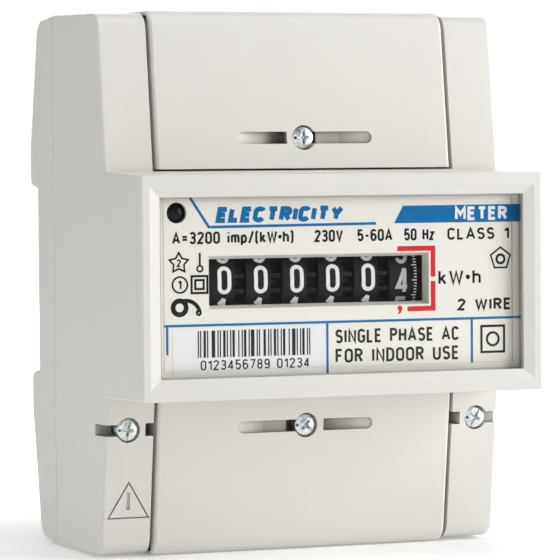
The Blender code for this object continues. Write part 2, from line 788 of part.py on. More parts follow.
def terminal_block(name, sign):
    reach = sorted((sign * 23.9, sign * 55.4))
    obj = box(name, (-33.3, 33.3), (17.4, 43.6), reach)
    bevel_all(obj, 0.4, 1)
    h = sign * CLAMP_H
    for side in (-1, 1):
        tag = name + ("_left" if side < 0 else "_right")
        x = side * CLAMP_X
        cut(obj, box(tag + "_room", (x - 4.9, x + 4.9), (19.1, 41.0), (h - 4.6, h + 4.6)))
        cut(obj, rod(tag + "_head", "d", x, h, 3.5, 40.5, 50.0))
        cut(obj, rod(tag + "_wire", "h", x, 24.85, 4.3, *sorted((sign * 45.0, sign * 60.0))))
        cut(obj, box(tag + "_bar", (x - 3.3, x + 3.3), (28.5, 30.7), sorted((sign * 20.0, sign * 38.5))))
    cut(obj, rod(name + "_post", "d", 0, sign * COVER_SCREW_H, 1.75, 27.0, 50.0))
    return finish(obj, BLOCK)


def pulse_rooms(block):
    for side in (-1, 1):
        tag = "pulse_left" if side < 0 else "pulse_right"
        x = side * PULSE_X
        cut(block, box(tag + "_room", (x - 2.7, x + 2.7), (20.6, 34.2), (-PULSE_H - 2.7, -PULSE_H + 2.7)))
        cut(block, rod(tag + "_head", "d", x, -PULSE_H, 2.1, 34.0, 50.0, 24))
        cut(block, rod(tag + "_wire", "h", x, 24.0, 1.9, -60.0, -46.5, 24))


def terminals():
    terminal_block("upper_terminal_block", 1)
    pulse_rooms(terminal_block("lower_terminal_block", -1))
    places = {
        "line_in": (-CLAMP_X, CLAMP_H),
        "neutral_in": (CLAMP_X, CLAMP_H),
        "line_out": (-CLAMP_X, -CLAMP_H),
        "neutral_out": (CLAMP_X, -CLAMP_H),
    }
    for name, (x, h) in places.items():
        clamp(name + "_clamp", x, h, 4.6, 4.2, (19.5, 33.5), (20.7, 31.3), 2.05)
        screw(name + "_screw", x, h, 30.35, 41.3, 43.4, 3.2, 1.95, 1.9, BRIGHT)
    for side, name in ((-1, "pulse_minus"), (1, "pulse_plus")):
        x = side * PULSE_X
        clamp(name + "_clamp", x, -PULSE_H, 2.4, 2.4, (21.0, 31.0), (21.8, 28.6), 1.2)
        screw(name + "_screw", x, -PULSE_H, 27.6, 34.5, 36.1, 1.85, 1.12, 1.1, BRIGHT)


# Electronics

def board_and_parts():
    finish(box("circuit_board", (-41.0, 41.0), (38.9, 40.5), (-20.6, 20.6)), BOARD)
    chip = box("measuring_chip", (26.0, 35.0), (40.7, 42.2), (-9.0, 0.0))
    finish(bevel_all(chip, 0.25, 1), DARK)
    crystal = box("quartz_crystal", (24.5, 28.5), (40.7, 43.0), (-15.5, -12.0))
    finish(bevel_all(crystal, 0.8, 3, 80), BRIGHT)
    film = box("film_capacitor", (-12.0, 6.0), (24.5, 38.7), (3.0, 14.0))
    finish(bevel_all(film, 0.6, 2), YELLOW)
    can = rod("electrolytic_capacitor", "d", 1.0, -10.0, 5.0, 24.0, 38.7, 28)
    finish(bevel_all(can, 0.6, 2), SLEEVE)
    disc = rod("varistor", "x", 32.0, 7.0, 5.2, 27.0, 31.0, 24)
    finish(bevel_all(disc, 1.2, 2), BLUE)
    reach = CLAMP_H + 3.9
    finish(box("current_shunt", (-CLAMP_X - 3.0, -CLAMP_X + 3.0), (29.0, 30.2), (-reach, reach)), COPPER)
    finish(box("neutral_bar", (CLAMP_X - 3.0, CLAMP_X + 3.0), (29.0, 30.2), (-reach, reach)), COPPER)


front_case()
rear_base()
window_lens()
dial_plate()
status_lamp()
terminal_cover()
case_and_cover_screws()
rail_latch()
latch_spring()
counter()
terminals()
board_and_parts()
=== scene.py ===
"""Looks of a single-phase electricity meter for a 35 mm rail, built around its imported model.

Lengths are in millimetres: x to the right, d forward from the rear face, h up from the middle of the case.
"""

import json
import math

import bmesh
import bpy
from mathutils import Matrix, Vector


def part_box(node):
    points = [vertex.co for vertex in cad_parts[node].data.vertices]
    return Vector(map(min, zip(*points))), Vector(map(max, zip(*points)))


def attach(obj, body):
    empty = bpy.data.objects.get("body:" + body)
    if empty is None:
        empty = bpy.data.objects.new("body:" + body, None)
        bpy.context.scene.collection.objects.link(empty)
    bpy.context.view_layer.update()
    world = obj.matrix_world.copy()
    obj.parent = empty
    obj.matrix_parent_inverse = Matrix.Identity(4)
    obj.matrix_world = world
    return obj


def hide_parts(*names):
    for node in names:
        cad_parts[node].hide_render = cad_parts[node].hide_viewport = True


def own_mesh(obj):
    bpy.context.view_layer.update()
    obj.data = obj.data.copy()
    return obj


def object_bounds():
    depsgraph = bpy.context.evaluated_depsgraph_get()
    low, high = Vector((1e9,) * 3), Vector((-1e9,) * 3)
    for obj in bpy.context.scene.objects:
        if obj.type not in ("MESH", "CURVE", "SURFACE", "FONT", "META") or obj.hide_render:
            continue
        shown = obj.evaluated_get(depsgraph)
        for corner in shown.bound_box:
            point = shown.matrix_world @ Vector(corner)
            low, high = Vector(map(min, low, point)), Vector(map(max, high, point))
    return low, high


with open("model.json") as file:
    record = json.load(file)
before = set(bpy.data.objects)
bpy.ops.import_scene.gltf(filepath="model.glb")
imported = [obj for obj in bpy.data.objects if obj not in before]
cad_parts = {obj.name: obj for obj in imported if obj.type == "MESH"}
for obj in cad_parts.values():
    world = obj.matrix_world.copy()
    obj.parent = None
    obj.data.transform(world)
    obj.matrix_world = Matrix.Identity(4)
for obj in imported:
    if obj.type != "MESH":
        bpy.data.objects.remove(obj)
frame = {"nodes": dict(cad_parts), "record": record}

CAD_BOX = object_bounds()
LOW, HIGH = CAD_BOX
REAR_Y = HIGH.y
MIDDLE_Z = (LOW.z + HIGH.z) / 2
MM = 0.001
MIDDLE_D = (HIGH.y - LOW.y) / 2 / MM

RECORD = frame["record"]
BODY_OF = {node: body for body, members in RECORD["behaviour"]["bodies"].items() for node in members}
SLOT_OF = {part["node"]: part["material_slot"] for part in RECORD["subparts"]}

DRUM_NAMES = ["ten_thousands", "thousands", "hundreds", "tens", "units", "tenths"]

# The camera's turns are in degrees, and its lens and sensor are in millimetres like everything else.
CAMERA_YAW = 21.663
CAMERA_DOWN = 2.08
CAMERA_ROLL = -0.407
CAMERA_DISTANCE = 733.07
CAMERA_AIM_X = -0.26
CAMERA_AIM_H = -0.1
CAMERA_LENS = 220.54
CAMERA_SENSOR = 36.0
CAMERA_CLIP = 10.0


def at(x, d, h):
    """A point of the scene, in metres."""
    return Vector((x * MM, REAR_Y - d * MM, MIDDLE_Z + h * MM))


def place_of(point):
    """The (x, d, h) of a point, in millimetres."""
    return point.x / MM, (REAR_Y - point.y) / MM, (point.z - MIDDLE_Z) / MM


def node_box(node):
    """((x, x), (d, d), (h, h)) of a CAD node, each low to high."""
    low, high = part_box(node)
    a, b = place_of(low), place_of(high)
    return tuple(tuple(sorted(pair)) for pair in zip(a, b))


# Materials

def coordinates(tree):
    return tree.nodes.new("ShaderNodeTexCoord").outputs["Object"]


def noise(tree, size, detail=2.0, stretch=None):
    """A noise value between about 0.3 and 0.7, whose features are about this many millimetres wide."""
    node = tree.nodes.new("ShaderNodeTexNoise")
    node.inputs["Scale"].default_value = 1.0 / (size * MM)
    node.inputs["Detail"].default_value = detail
    source = coordinates(tree)
    if stretch:
        mapping = tree.nodes.new("ShaderNodeMapping")
        mapping.inputs["Scale"].default_value = stretch
        tree.links.new(source, mapping.inputs["Vector"])
        source = mapping.outputs["Vector"]
    tree.links.new(source, node.inputs["Vector"])
    return node.outputs["Fac"]


def spread(tree, value, low, high, first=0.3, last=0.7):
    node = tree.nodes.new("ShaderNodeMapRange")
    node.inputs["From Min"].default_value = first
    node.inputs["From Max"].default_value = last
    node.inputs["To Min"].default_value = low
    node.inputs["To Max"].default_value = high
    tree.links.new(value, node.inputs["Value"])
    return node.outputs["Result"]


def blend_colours(tree, share, first, second):
    node = tree.nodes.new("ShaderNodeMix")
    node.data_type = "RGBA"
    for socket, colour in ((node.inputs["A"], first), (node.inputs["B"], second)):
        if isinstance(colour, tuple):
            socket.default_value = (*colour, 1.0)
        else:
            tree.links.new(colour, socket)
    if isinstance(share, float):
        node.inputs["Factor"].default_value = share
    else:
        tree.links.new(share, node.inputs["Factor"])
    return node.outputs["Result"]


def scaled(colour, factor):
    return tuple(min(1.0, channel * factor) for channel in colour)


# Painted shade: a crevice is a place that sees little of its surroundings, and its colour is painted darker
# there as shade. CLOSED takes the full shade colour, and OPEN none of it.
CREVICE_REACH = 4.5
CREVICE_SAMPLES = 8
CREVICE_CLOSED = 0.12
CREVICE_OPEN = 0.62
SPECKLE_SHARE = 0.4
SURFACE_DETAIL = 3.0


def crevices(tree, colour, crevice_shade):
    """The colour with painted shade: turned towards the shade colour where the same piece's own walls stand
    close around.
    """
    near = tree.nodes.new("ShaderNodeAmbientOcclusion")
    near.only_local = True
    near.samples = CREVICE_SAMPLES
    near.inputs["Distance"].default_value = CREVICE_REACH * MM
    share = spread(tree, near.outputs["AO"], 1.0, 0.0, CREVICE_CLOSED, CREVICE_OPEN)
    return blend_colours(tree, share, colour, crevice_shade)


def two_tones(tree, value, colour, tint):
    """The colour, made darker and lighter by the tint where the noise value is low and high."""
    share = spread(tree, value, 0.0, 1.0)
    return blend_colours(tree, share, scaled(colour, 1 - tint), scaled(colour, 1 + tint))


def surface(name, colour, roughness, metallic=0.0, tint=0.03, patch=9.0, grain=0.35, relief=0.01,
            uneven=0.05, stretch=None, crevice_shade=None, specular=None):
    """A Principled material whose colour, roughness and relief vary.

    patch and grain are the widths of its broad and fine features and relief is their height, in millimetres.
    """
    mat = bpy.data.materials.new(name)
    mat.use_nodes = True
    tree = mat.node_tree
    shader = tree.nodes["Principled BSDF"]
    shader.inputs["Metallic"].default_value = metallic
    if specular is not None:
        shader.inputs["Specular IOR Level"].default_value = specular
    clouded = two_tones(tree, noise(tree, patch, SURFACE_DETAIL), colour, tint)
    fine = noise(tree, grain, SURFACE_DETAIL, stretch)
    painted = blend_colours(tree, SPECKLE_SHARE, clouded, two_tones(tree, fine, colour, tint))
    # Painted shade: the colour turns towards the given shade colour in the piece's own crevices.
    if crevice_shade:
        painted = crevices(tree, painted, crevice_shade)
    tree.links.new(painted, shader.inputs["Base Color"])
    tree.links.new(spread(tree, fine, roughness - uneven, roughness + uneven), shader.inputs["Roughness"])
    bump = tree.nodes.new("ShaderNodeBump")
    bump.inputs["Strength"].default_value = 1.0
    bump.inputs["Distance"].default_value = relief * MM
    tree.links.new(fine, bump.inputs["Height"])
    tree.links.new(bump.outputs["Normal"], shader.inputs["Normal"])
    return mat


# Clear plastic: the colour that it scatters, the width of its hazy patches, and how fast its mirror grows.
CLOUDY = (0.62, 0.61, 0.58)
HAZE_PATCH = 14.0
SLANT_POWER = 5.0


def see_through(name, colour, facing, haze, milky=0.0):
    """Clear plastic that light goes straight through.

    facing is the share that it mirrors seen straight on, which grows at a slant. haze is the mirror's
    roughness, low and high, and milky is the share that it scatters.
    """
    mat = bpy.data.materials.new(name)
    mat.use_nodes = True
    tree = mat.node_tree
    tree.nodes.remove(tree.nodes["Principled BSDF"])
    through = tree.nodes.new("ShaderNodeBsdfTransparent")
    through.inputs["Color"].default_value = (*colour, 1.0)
    body = through.outputs["BSDF"]
    if milky:
        cloudy = tree.nodes.new("ShaderNodeBsdfDiffuse")
        cloudy.inputs["Color"].default_value = (*CLOUDY, 1.0)
        body = mixed_shader(tree, milky, body, cloudy.outputs["BSDF"])
    mirror = tree.nodes.new("ShaderNodeBsdfGlossy")
    tree.links.new(spread(tree, noise(tree, HAZE_PATCH), *haze), mirror.inputs["Roughness"])
    slant = tree.nodes.new("ShaderNodeLayerWeight")
    slant.inputs["Blend"].default_value = 0.5
    steep = tree.nodes.new("ShaderNodeMath")
    steep.operation = "POWER"
    steep.inputs[1].default_value = SLANT_POWER
    tree.links.new(slant.outputs["Facing"], steep.inputs[0])
    share = spread(tree, steep.outputs["Value"], facing, 1.0, 0.0, 1.0)
    result = mixed_shader(tree, share, body, mirror.outputs["BSDF"])
    tree.links.new(result, tree.nodes["Material Output"].inputs["Surface"])
    return mat


def mixed_shader(tree, share, first, second):
    mix = tree.nodes.new("ShaderNodeMixShader")
    if isinstance(share, float):
        mix.inputs["Fac"].default_value = share
    else:
        tree.links.new(share, mix.inputs["Fac"])
    tree.links.new(first, mix.inputs[1])
    tree.links.new(second, mix.inputs[2])
    return mix.outputs["Shader"]


# The finish of each material slot, and of the inks. Colours are linear.
SURFACES = {
    # The light grey plastic is painted a darker brown as shade in its own slots, grooves and hollows.
    "light_grey_plastic": dict(colour=(0.745, 0.725, 0.685), roughness=0.42, tint=0.012, grain=0.5,
                               relief=0.004, crevice_shade=(0.15, 0.127, 0.092)),
    "rear_grey_plastic": dict(colour=(0.735, 0.715, 0.675), roughness=0.45, tint=0.015, grain=0.5,
                              relief=0.005),
    "dial_white": dict(colour=(0.93, 0.905, 0.845), roughness=0.5, tint=0.012, patch=20, grain=0.3,
                       relief=0.002),
    "lamp_dark": dict(colour=(0.005, 0.005, 0.006), roughness=0.25, tint=0.3, patch=1.5, relief=0.001,
                      specular=0.2),
    "dark_plastic": dict(colour=(0.03, 0.03, 0.032), roughness=0.5, tint=0.12, relief=0.006),
    "natural_acetal": dict(colour=(0.78, 0.78, 0.75), roughness=0.4, tint=0.02, relief=0.003),
    "board_green": dict(colour=(0.035, 0.17, 0.075), roughness=0.4, tint=0.1, patch=4),
    "capacitor_yellow": dict(colour=(0.7, 0.52, 0.08), roughness=0.4, tint=0.06),
    "capacitor_sleeve": dict(colour=(0.03, 0.04, 0.1), roughness=0.35, tint=0.15),
    "varistor_blue": dict(colour=(0.04, 0.12, 0.42), roughness=0.4, tint=0.08),
    "terminal_block_grey": dict(colour=(0.16, 0.16, 0.165), roughness=0.55, tint=0.08),
    "drum_black": dict(colour=(0.007, 0.008, 0.0095), roughness=0.4, tint=0.25, patch=2.0, specular=0.2),
}
METALS = {
    "zinc_plate": dict(colour=(0.74, 0.79, 0.79), roughness=0.3, tint=0.25, patch=0.6, grain=0.5, relief=0.09,
                       uneven=0.12),
    "steel": dict(colour=(0.5, 0.5, 0.51), roughness=0.33, tint=0.08, patch=3, grain=0.2,
                  stretch=(0.15, 1, 1)),
    "tinned_brass": dict(colour=(0.68, 0.6, 0.42), roughness=0.3, tint=0.08, patch=2),
    "nickel_steel": dict(colour=(0.6, 0.6, 0.58), roughness=0.3, tint=0.08, patch=2.5, grain=0.3,
                         relief=0.006, uneven=0.08),
    "copper_bar": dict(colour=(0.78, 0.4, 0.25), roughness=0.3, tint=0.1, patch=3),
}
INKS = {
    "black": dict(colour=(0.007, 0.0065, 0.0065), roughness=0.55, tint=0.25, patch=1.5, specular=0.12),
    "blue": dict(colour=(0.004, 0.17, 0.45), roughness=0.5, tint=0.1, patch=3, specular=0.12),
    "red": dict(colour=(0.75, 0.03, 0.03), roughness=0.5, tint=0.08, patch=3, specular=0.12),
    "white": dict(colour=(0.93, 0.935, 0.93), roughness=0.5, tint=0.03, patch=1.5),
    "grey": dict(colour=(0.62, 0.62, 0.62), roughness=0.5, tint=0.06, patch=1.5),
}
MATERIALS = {name: surface(name, **look) for name, look in SURFACES.items()}
MATERIALS |= {name: surface(name, metallic=1.0, **look) for name, look in METALS.items()}
MATERIALS["clear_window"] = see_through("clear_window", (1.0, 1.0, 0.995), 0.02, (0.02, 0.06))
INK = {name: surface("ink_" + name, grain=0.2, relief=0.001, **look) for name, look in INKS.items()}
WINDOW_EDGE = see_through("window_edge", (0.74, 0.73, 0.72), 0.06, (0.1, 0.2), 0.12)
PAPER = surface("label_paper", (0.92, 0.925, 0.94), 0.6, tint=0.015, patch=4, grain=0.15, relief=0.003)


# Meshes

def new_object(name, bm, mat):
    mesh = bpy.data.meshes.new(name)
    bm.to_mesh(mesh)
    bm.free()
    mesh.materials.append(mat)
    obj = bpy.data.objects.new(name, mesh)
    bpy.context.scene.collection.objects.link(obj)
    return obj


# The radius of a node's rounded edges. 0 keeps them sharp.
EDGE = {
    "front_case": 0.12,
    "rear_base": 0.12,
    "upper_terminal_cover": 0.15,
    "lower_terminal_cover": 0.15,
    "window_lens": 0.0,
    "dial_plate": 0.1,
    "status_lamp": 0.0,
    "latch_spring": 0.0,
    "upper_terminal_block": 0.2,
    "lower_terminal_block": 0.2,
    "current_shunt": 0.15,
    "neutral_bar": 0.15,
}
USUAL_EDGE = 0.06
EDGE_SEGMENTS = 3

# Faces that meet at more than CORNER make an edge, and in the frame in front of the window at more than
# FRAME_CORNER. Faces that meet at less than FLAT become one face.
CORNER = math.radians(34)
FRAME_CORNER = math.radians(5)
FRAME_FROM_D = 68.5
FLAT = math.radians(0.5)

# In metres: points this close are one point, and edges this short are taken out.
SAME_POINT = 1e-6
NO_LENGTH = 1e-5

# How far a face's normal points ahead or back before the face counts as front or rear.
FACES_FRONT = 0.9


def mark_corners(bm, node):
    """Marks the edges that the bevel rounds: all sharp ones, and the window frame's shallow mitres."""
    weight = bm.edges.layers.float.new("bevel_weight_edge")
    for edge in bm.edges:
        if len(edge.link_faces) != 2:
            continue
        in_frame = node == "front_case" and all(place_of(v.co)[1] > FRAME_FROM_D for v in edge.verts)
        if edge.calc_face_angle() > (FRAME_CORNER if in_frame else CORNER):
            edge[weight] = 1.0


def mark_edges(obj, mat):
    """Gives the faces that look neither straight ahead nor straight back a second material."""
    obj.data.materials.append(mat)
    for face in obj.data.polygons:
        if abs(face.normal.y) < FACES_FRONT:
            face.material_index = 1


def refined(node):
    """The node's shape with whole flats, rounded edges and smooth round faces."""
    bm = bmesh.new()
    bm.from_mesh(frame["nodes"][node].data)
    bmesh.ops.remove_doubles(bm, verts=bm.verts, dist=SAME_POINT)
    bmesh.ops.dissolve_limit(bm, angle_limit=FLAT, verts=bm.verts, edges=bm.edges)
    bmesh.ops.dissolve_degenerate(bm, dist=NO_LENGTH, edges=bm.edges)
    for face in bm.faces:
        face.smooth = True
    mark_corners(bm, node)
    obj = new_object(node + "_finished", bm, MATERIALS[SLOT_OF[node]])
    width = EDGE.get(node, USUAL_EDGE)
    if width > 0:
        bevel = obj.modifiers.new("edge_rounding", "BEVEL")
        bevel.limit_method = "WEIGHT"
        bevel.width = width * MM
        bevel.segments = EDGE_SEGMENTS
        bevel.use_clamp_overlap = True
    else:
        obj.data.set_sharp_from_angle(angle=CORNER)
    if node == "window_lens":
        mark_edges(obj, WINDOW_EDGE)
    normals = obj.modifiers.new("flat_faces", "WEIGHTED_NORMAL")
    normals.keep_sharp = True
    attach(obj, BODY_OF[node])
    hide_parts(node)
    return obj


def squeeze_spring(obj):
    """The spring stands on the base, and the latch presses it down from above. This only gives the spring its
    own copy of its mesh; its shape stays as it is.
    """
    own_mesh(obj)


# Strokes: lettering and lines of even width, as thin solids on a surface

def bow(cu, cv, ru, rv, first, last, steps=10):
    """Part of an ellipse about (cu, cv), between two angles in degrees."""
    turns = [math.radians(first + (last - first) * i / steps) for i in range(steps + 1)]
    return [(cu + ru * math.cos(a), cv + rv * math.sin(a)) for a in turns]


def loop(points):
    """A closed stroke: its first point comes again at the end."""
    return points + [points[0]]


def circle(cu, cv, radius, steps=32):
    return loop(bow(cu, cv, radius, radius, 0, 360, steps)[:-1])


def rectangle(u0, u1, v0, v1):
    return [(u0, v0), (u1, v0), (u1, v1), (u0, v1)]


def regular(cu, cv, radius, count, start=90):
    """A polygon with equal sides."""
    turns = [math.radians(start + 360 * i / count) for i in range(count)]
    return loop([(cu + radius * math.cos(a), cv + radius * math.sin(a)) for a in turns])


def star(cu, cv, tip, root, count=5):
    points = []
    for i in range(2 * count):
        radius = root if i % 2 else tip
        a = math.pi / 2 + math.pi * i / count
        points.append((cu + radius * math.cos(a), cv + radius * math.sin(a)))
    return loop(points)


def oval(width):
    """The outline of a 0 or an O of height 1."""
    half = width / 2
    return loop(bow(half, 1 - half, half, half, 0, 180) + bow(half, half, half, half, 180, 360))


BOWL = [(0, 0), (0, 1), (0.22, 1)] + bow(0.22, 0.76, 0.21, 0.24, 90, -90) + [(0, 0.52)]
ARCH = bow(0.19, 0.49, 0.19, 0.19, 180, 0)
HUMPS = [[(foot, 0.4)] + bow(foot + 0.15, 0.52, 0.15, 0.16, 180, 0) + [(foot + 0.3, 0)] for foot in (0, 0.3)]

# Each glyph: its width and its strokes, for capitals of height 1.
GLYPHS = {
    " ": (0.26, []),
    "0": (0.42, [oval(0.42)]),
    "1": (0.24, [[(0.24, 0), (0.24, 1)], [(0.24, 1), (0, 0.74)]]),
    "2": (0.42, [bow(0.21, 0.78, 0.21, 0.22, 175, -25) + [(0, 0), (0.42, 0)]]),
    "3": (0.42, [bow(0.21, 0.765, 0.2, 0.235, 155, -90) + bow(0.21, 0.27, 0.21, 0.27, 90, -155)]),
    "4": (0.44, [[(0.32, 1), (0, 0.22), (0.44, 0.22)], [(0.32, 1), (0.32, 0)]]),
    "5": (0.42, [[(0.4, 1), (0.04, 1), (0.02, 0.52)] + bow(0.21, 0.31, 0.21, 0.31, 130, -155)]),
    "6": (0.42, [
        loop(bow(0.21, 0.3, 0.21, 0.3, 180, 540, 18)),
        [(0, 0.3), (0, 0.76)] + bow(0.21, 0.78, 0.21, 0.22, 180, 25),
    ]),
    "7": (0.42, [[(0, 1), (0.42, 1), (0.14, 0)]]),
    "8": (0.42, [
        loop(bow(0.21, 0.77, 0.19, 0.23, 0, 360, 16)),
        loop(bow(0.21, 0.27, 0.21, 0.27, 0, 360, 18)),
    ]),
    "9": (0.42, [
        loop(bow(0.21, 0.7, 0.21, 0.3, 0, 360, 18)),
        [(0.42, 0.7), (0.42, 0.24)] + bow(0.21, 0.22, 0.21, 0.22, 0, -155),
    ]),
    "A": (0.54, [[(0, 0), (0.27, 1), (0.54, 0)], [(0.1, 0.3), (0.44, 0.3)]]),
    "C": (0.42, [bow(0.21, 0.77, 0.21, 0.23, 15, 180) + bow(0.21, 0.23, 0.21, 0.23, 180, 345)]),
    "D": (0.44, [
        loop([(0, 0), (0, 1), (0.18, 1)] + bow(0.18, 0.7, 0.26, 0.3, 90, 0)
             + bow(0.18, 0.3, 0.26, 0.3, 0, -90)),
    ]),
    "E": (0.38, [[(0.38, 1), (0, 1), (0, 0), (0.38, 0)], [(0, 0.52), (0.33, 0.52)]]),
    "F": (0.38, [[(0.38, 1), (0, 1), (0, 0)], [(0, 0.52), (0.33, 0.52)]]),
    "G": (0.44, [
        bow(0.22, 0.77, 0.22, 0.23, 15, 180) + bow(0.22, 0.23, 0.22, 0.23, 180, 360)
        + [(0.44, 0.46), (0.24, 0.46)],
    ]),
    "H": (0.44, [[(0, 0), (0, 1)], [(0.44, 0), (0.44, 1)], [(0, 0.52), (0.44, 0.52)]]),
    "I": (0.02, [[(0.01, 0), (0.01, 1)]]),
    "L": (0.36, [[(0, 1), (0, 0), (0.36, 0)]]),
    "M": (0.56, [[(0, 0), (0, 1), (0.28, 0.42), (0.56, 1), (0.56, 0)]]),
    "N": (0.46, [[(0, 0), (0, 1), (0.46, 0), (0.46, 1)]]),
    "O": (0.46, [oval(0.46)]),
    "P": (0.43, [BOWL]),
    "R": (0.44, [BOWL, [(0.2, 0.52), (0.44, 0)]]),
    "S": (0.42, [bow(0.21, 0.76, 0.21, 0.24, 25, 270) + bow(0.21, 0.26, 0.21, 0.26, 90, -155)]),
    "T": (0.44, [[(0, 1), (0.44, 1)], [(0.22, 1), (0.22, 0)]]),
    "U": (0.44, [[(0, 1)] + bow(0.22, 0.22, 0.22, 0.22, 180, 360) + [(0.44, 1)]]),
    "V": (0.5, [[(0, 1), (0.25, 0), (0.5, 1)]]),
    "W": (0.74, [[(0, 1), (0.185, 0), (0.37, 0.9), (0.555, 0), (0.74, 1)]]),
    "Y": (0.46, [[(0, 1), (0.23, 0.46), (0.46, 1)], [(0.23, 0.46), (0.23, 0)]]),
    "h": (0.38, [[(0, 0), (0, 1)], [(0, 0.4)] + ARCH + [(0.38, 0)]]),
    "i": (0.02, [[(0.01, 0), (0.01, 0.68)], [(0.01, 0.88), (0.01, 1.0)]]),
    "k": (0.36, [[(0, 0), (0, 1)], [(0.33, 0.68), (0, 0.26)], [(0.12, 0.41), (0.36, 0)]]),
    "m": (0.6, [[(0, 0), (0, 0.68)], *HUMPS]),
    "p": (0.38, [[(0, 0.68), (0, -0.28)], loop(bow(0.19, 0.34, 0.19, 0.34, 0, 360, 16))]),
    "z": (0.34, [[(0, 0.68), (0.34, 0.68), (0, 0), (0.34, 0)]]),
    "=": (0.4, [[(0, 0.62), (0.4, 0.62)], [(0, 0.34), (0.4, 0.34)]]),
    "-": (0.28, [[(0, 0.45), (0.28, 0.45)]]),
    "/": (0.34, [[(0, -0.08), (0.34, 1.08)]]),
    "(": (0.12, [[(0.12, 1.1), (0, 0.9), (0, 0.05), (0.12, -0.15)]]),
    ")": (0.12, [[(0, 1.1), (0.12, 0.9), (0.12, 0.05), (0, -0.15)]]),
    ".": (0.1, []),
}

# In the glyphs' own units, where a capital is 1 high.
LETTER_GAP = 0.3
DOT_RADIUS = 0.19

# Print goes a little into its surface and stands proud of it. Each stroke of a letter is a little higher than
# the one before it, and so is each point of a stroke, so that tops that cross don't lie in one plane.
INK_SUNK = 0.02
INK_PROUD = 0.03
LAYER_LIFT = 0.012
POINT_LIFT = 0.0005
SHARPEST_MITRE = 0.45
TOUCHING = 1e-6


def along(points, step):
    """The same line with no piece longer than the step."""
    result = [points[0]]
    for a, b in zip(points, points[1:]):
        count = max(1, math.ceil(math.dist(a, b) / step))
        for i in range(1, count + 1):
            result.append((a[0] + (b[0] - a[0]) * i / count, a[1] + (b[1] - a[1]) * i / count))
    return result


def offsets(points, half):
    """For each point of a line, the vector to its left edge, mitred at bends."""
    closed = math.dist(points[0], points[-1]) < TOUCHING
    if closed:
        points = points[:-1]
    count = len(points)
    result = []
    for i, here in enumerate(points):
        before = points[i - 1] if closed or i else None
        after = points[(i + 1) % count] if closed or i < count - 1 else None
        ways = []
        for a, b in ((before, here), (here, after)):
            if a and b:
                length = math.dist(a, b)
                ways.append(Vector((-(b[1] - a[1]) / length, (b[0] - a[0]) / length)))
        side = sum(ways, Vector((0, 0))).normalized()
        reach = half / max(SHARPEST_MITRE, side.dot(ways[0]))
        result.append(side * reach)
    return points, result, closed


def add_stroke(bm, points, width, point_on, layer=0, step=None):
    """A thin closed solid along a line, lying on the surface that point_on gives."""
    clean = [points[0]]
    for point in points[1:]:
        if math.dist(point, clean[-1]) > TOUCHING:
            clean.append(point)
    if step:
        clean = along(clean, step)
    clean, sides, closed = offsets(clean, width / 2)
    rows = []
    for (u, v), side in zip(clean, sides):
        top_lift = INK_PROUD + layer * LAYER_LIFT + len(rows) * POINT_LIFT
        corners = []
        for sign, lift in ((1, top_lift), (-1, top_lift), (-1, -INK_SUNK), (1, -INK_SUNK)):
            corners.append(bm.verts.new(point_on(u + sign * side.x, v + sign * side.y, lift)))
        rows.append(corners)
    pairs = list(zip(rows, rows[1:]))
    if closed:
        pairs.append((rows[-1], rows[0]))
    for low, high in pairs:
        for i in range(4):
            j = (i + 1) % 4
            bm.faces.new((low[i], low[j], high[j], high[i]))
    if not closed:
        bm.faces.new(rows[0])
        bm.faces.new(rows[-1])


def add_polygon(bm, points, point_on, low=-INK_SUNK, high=INK_PROUD):
    """A thin solid with this outline."""
    bottom = [bm.verts.new(point_on(u, v, low)) for u, v in points]
    top = [bm.verts.new(point_on(u, v, high)) for u, v in points]
    bm.faces.new(bottom)
    bm.faces.new(top)
    for i in range(len(points)):
        j = (i + 1) % len(points)
        bm.faces.new((bottom[i], bottom[j], top[j], top[i]))


def add_text(bm, text, across, up, stroke, point_on, step=None, slant=0.0):
    """Letters that fill a width and a capital height, both (low, high)."""
    tall = up[1] - up[0] - stroke
    foot = up[0] + stroke / 2
    natural = sum(GLYPHS[c][0] for c in text) + LETTER_GAP * (len(text) - 1)
    wide = (across[1] - across[0] - stroke) / natural
    u = across[0] + stroke / 2
    for c in text:
        glyph_width, strokes = GLYPHS[c]
        for layer, points in enumerate(strokes):
            line = [(u + x * wide + slant * (y - 0.5) * tall, foot + y * tall) for x, y in points]
            add_stroke(bm, line, stroke, point_on, layer, step)
        if c == ".":
            dot = circle(u + glyph_width / 2 * wide, (up[0] + up[1]) / 2, DOT_RADIUS * tall, 16)[:-1]
            add_polygon(bm, dot, point_on)
        u += (glyph_width + LETTER_GAP) * wide


def printed(name, mat, body, fill):
    """A piece of print: fill adds its solids to an empty mesh."""
    bm = bmesh.new()
    fill(bm)
    bmesh.ops.recalc_face_normals(bm, faces=bm.faces)
    obj = new_object(name, bm, mat)
    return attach(obj, body)


# Dial printing

DIAL_D = node_box("dial_plate")[1][1]

# Widths of the lines and letters in print.
THIN = 0.36
MEDIUM = 0.45
STRONG = 0.5
BRACKET = 1.04


def dial_point(u, v, lift):
    """A point on the dial plate's front."""
    return at(u, DIAL_D + lift, v)


def blue_print(bm):
    """The slanted rule, the band, the dividing rules and the large word."""
    add_stroke(bm, [(-32.6, 18.15), (-28.6, 12.15), (8.1, 12.4)], 0.55, dial_point)
    add_polygon(bm, [(12.14, 12.37), (40.97, 12.36), (40.99, 16.03), (14.17, 15.96)], dial_point)
    add_stroke(bm, [(-38.4, -7.65), (41.3, -7.65)], STRONG, dial_point)
    for x, foot in ((-37.7, -13.5), (-2.9, -18.2), (29.65, -16.9)):
        add_stroke(bm, [(x, -7.9), (x, foot)], STRONG, dial_point)
    add_text(bm, "ELECTRICITY", across=(-26.9, 0.75), up=(12.95, 16.2), stroke=1.02, point_on=dial_point,
             slant=0.2)


